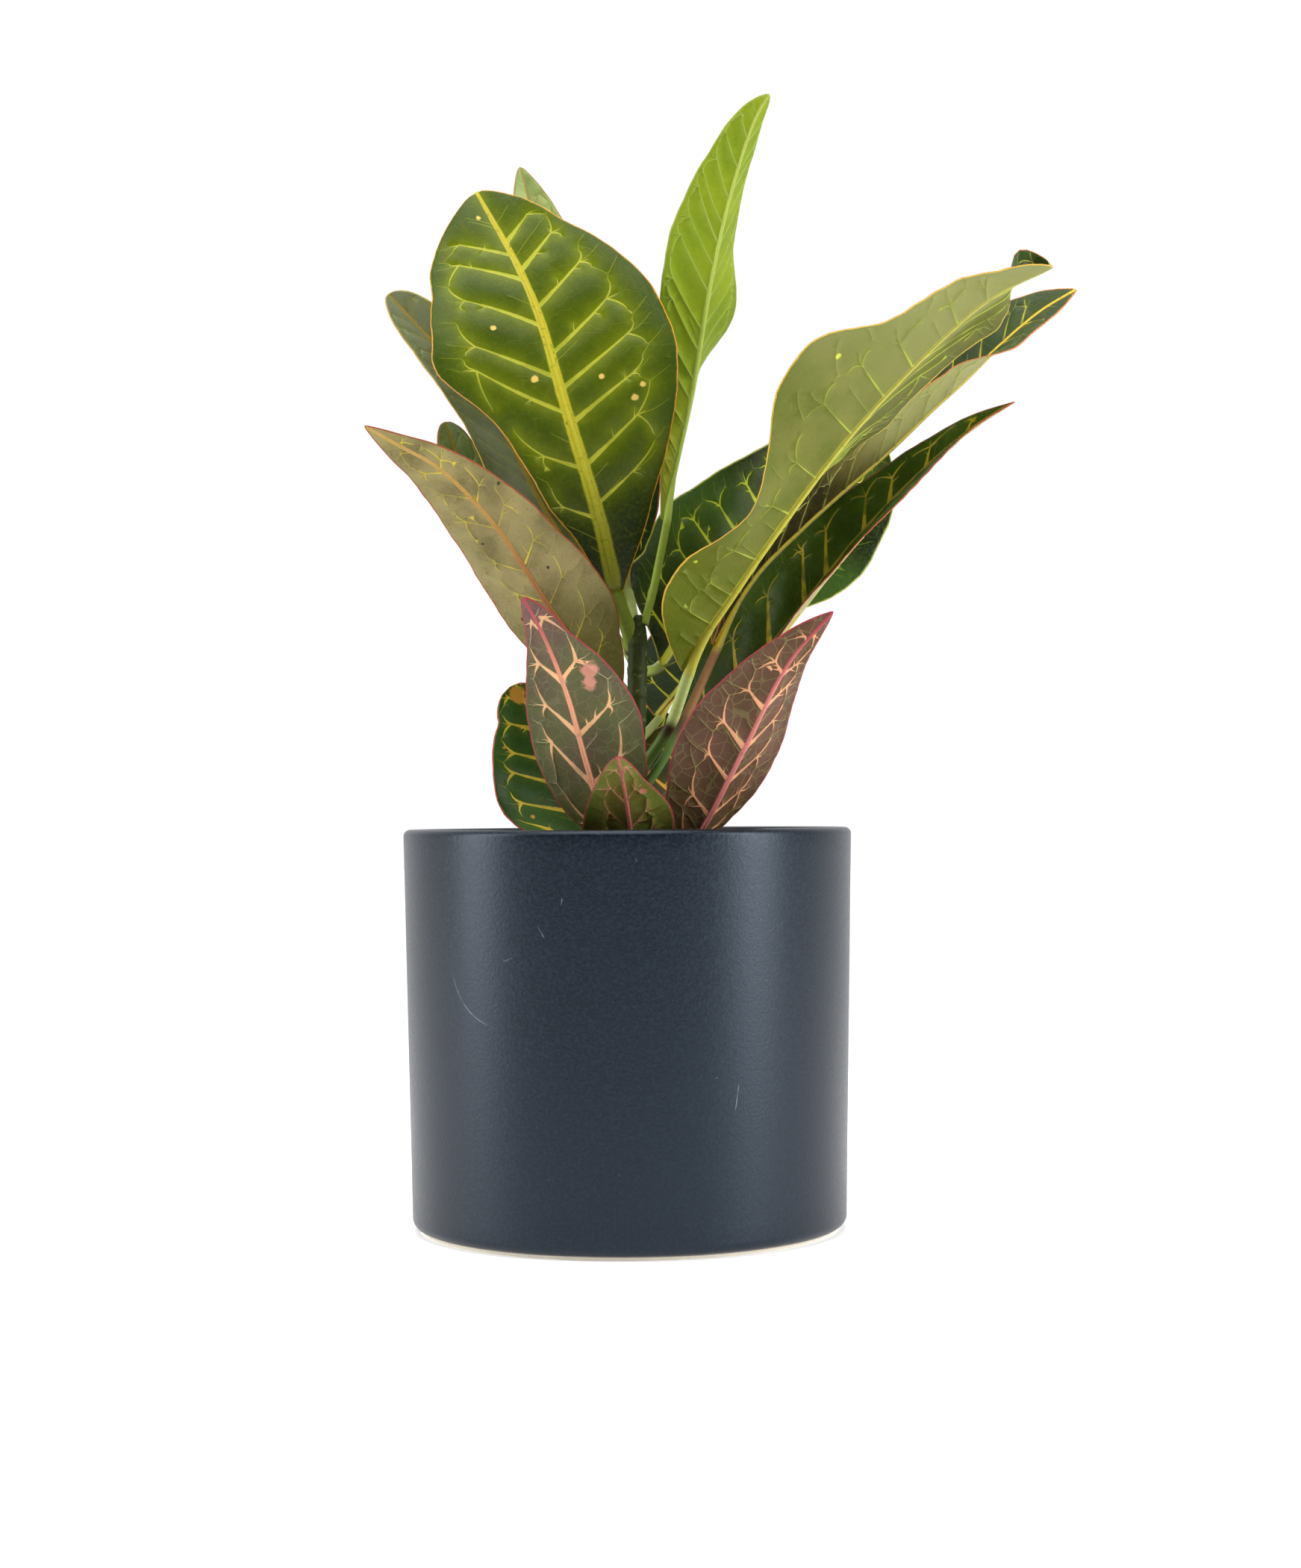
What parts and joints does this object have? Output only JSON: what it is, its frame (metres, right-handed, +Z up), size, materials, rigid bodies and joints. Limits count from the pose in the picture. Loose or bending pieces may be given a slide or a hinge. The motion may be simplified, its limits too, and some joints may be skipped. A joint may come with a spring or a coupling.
{
  "type": "potted croton",
  "caption": "Leafy croton house plant with veined green, yellow and red leaves, standing in a straight matt dark ceramic pot.",
  "frame": {"origin": "the middle of the pot's flat base, on the surface that it stands on", "axes": "+Z up along the pot's axis; -Y towards the viewer of the plant's best side; +X to that viewer's right"},
  "size_m": [0.2423, 0.1694, 0.3929],
  "materials": {
    "pot_ceramic": "matte",
    "potting_soil": "matte",
    "stem_bark": "matte",
    "leaf_green": "satin",
    "leaf_young": "satin",
    "leaf_red": "satin"
  },
  "bodies": {
    "root": {"pot": "pot_ceramic", "soil": "potting_soil", "stem": "stem_bark", "leaf_crown_left": "leaf_green", "leaf_crown_young": "leaf_young", "leaf_right_arching": "leaf_green", "leaf_right_upper": "leaf_green", "leaf_right_lower": "leaf_green", "leaf_middle_wide": "leaf_green", "leaf_left_front": "leaf_green", "leaf_left_upper": "leaf_green", "leaf_left_back": "leaf_green", "leaf_red_left": "leaf_red", "leaf_red_middle": "leaf_red", "leaf_red_right": "leaf_red", "leaf_low_left": "leaf_green", "leaf_low_right": "leaf_green", "leaf_crown_back": "leaf_green", "leaf_back_tall": "leaf_green", "leaf_back_right": "leaf_green", "leaf_back_left": "leaf_green", "leaf_low_back": "leaf_green", "leaf_low_back_right": "leaf_red", "leaf_low_back_left": "leaf_red"}
  },
  "joints": []
}
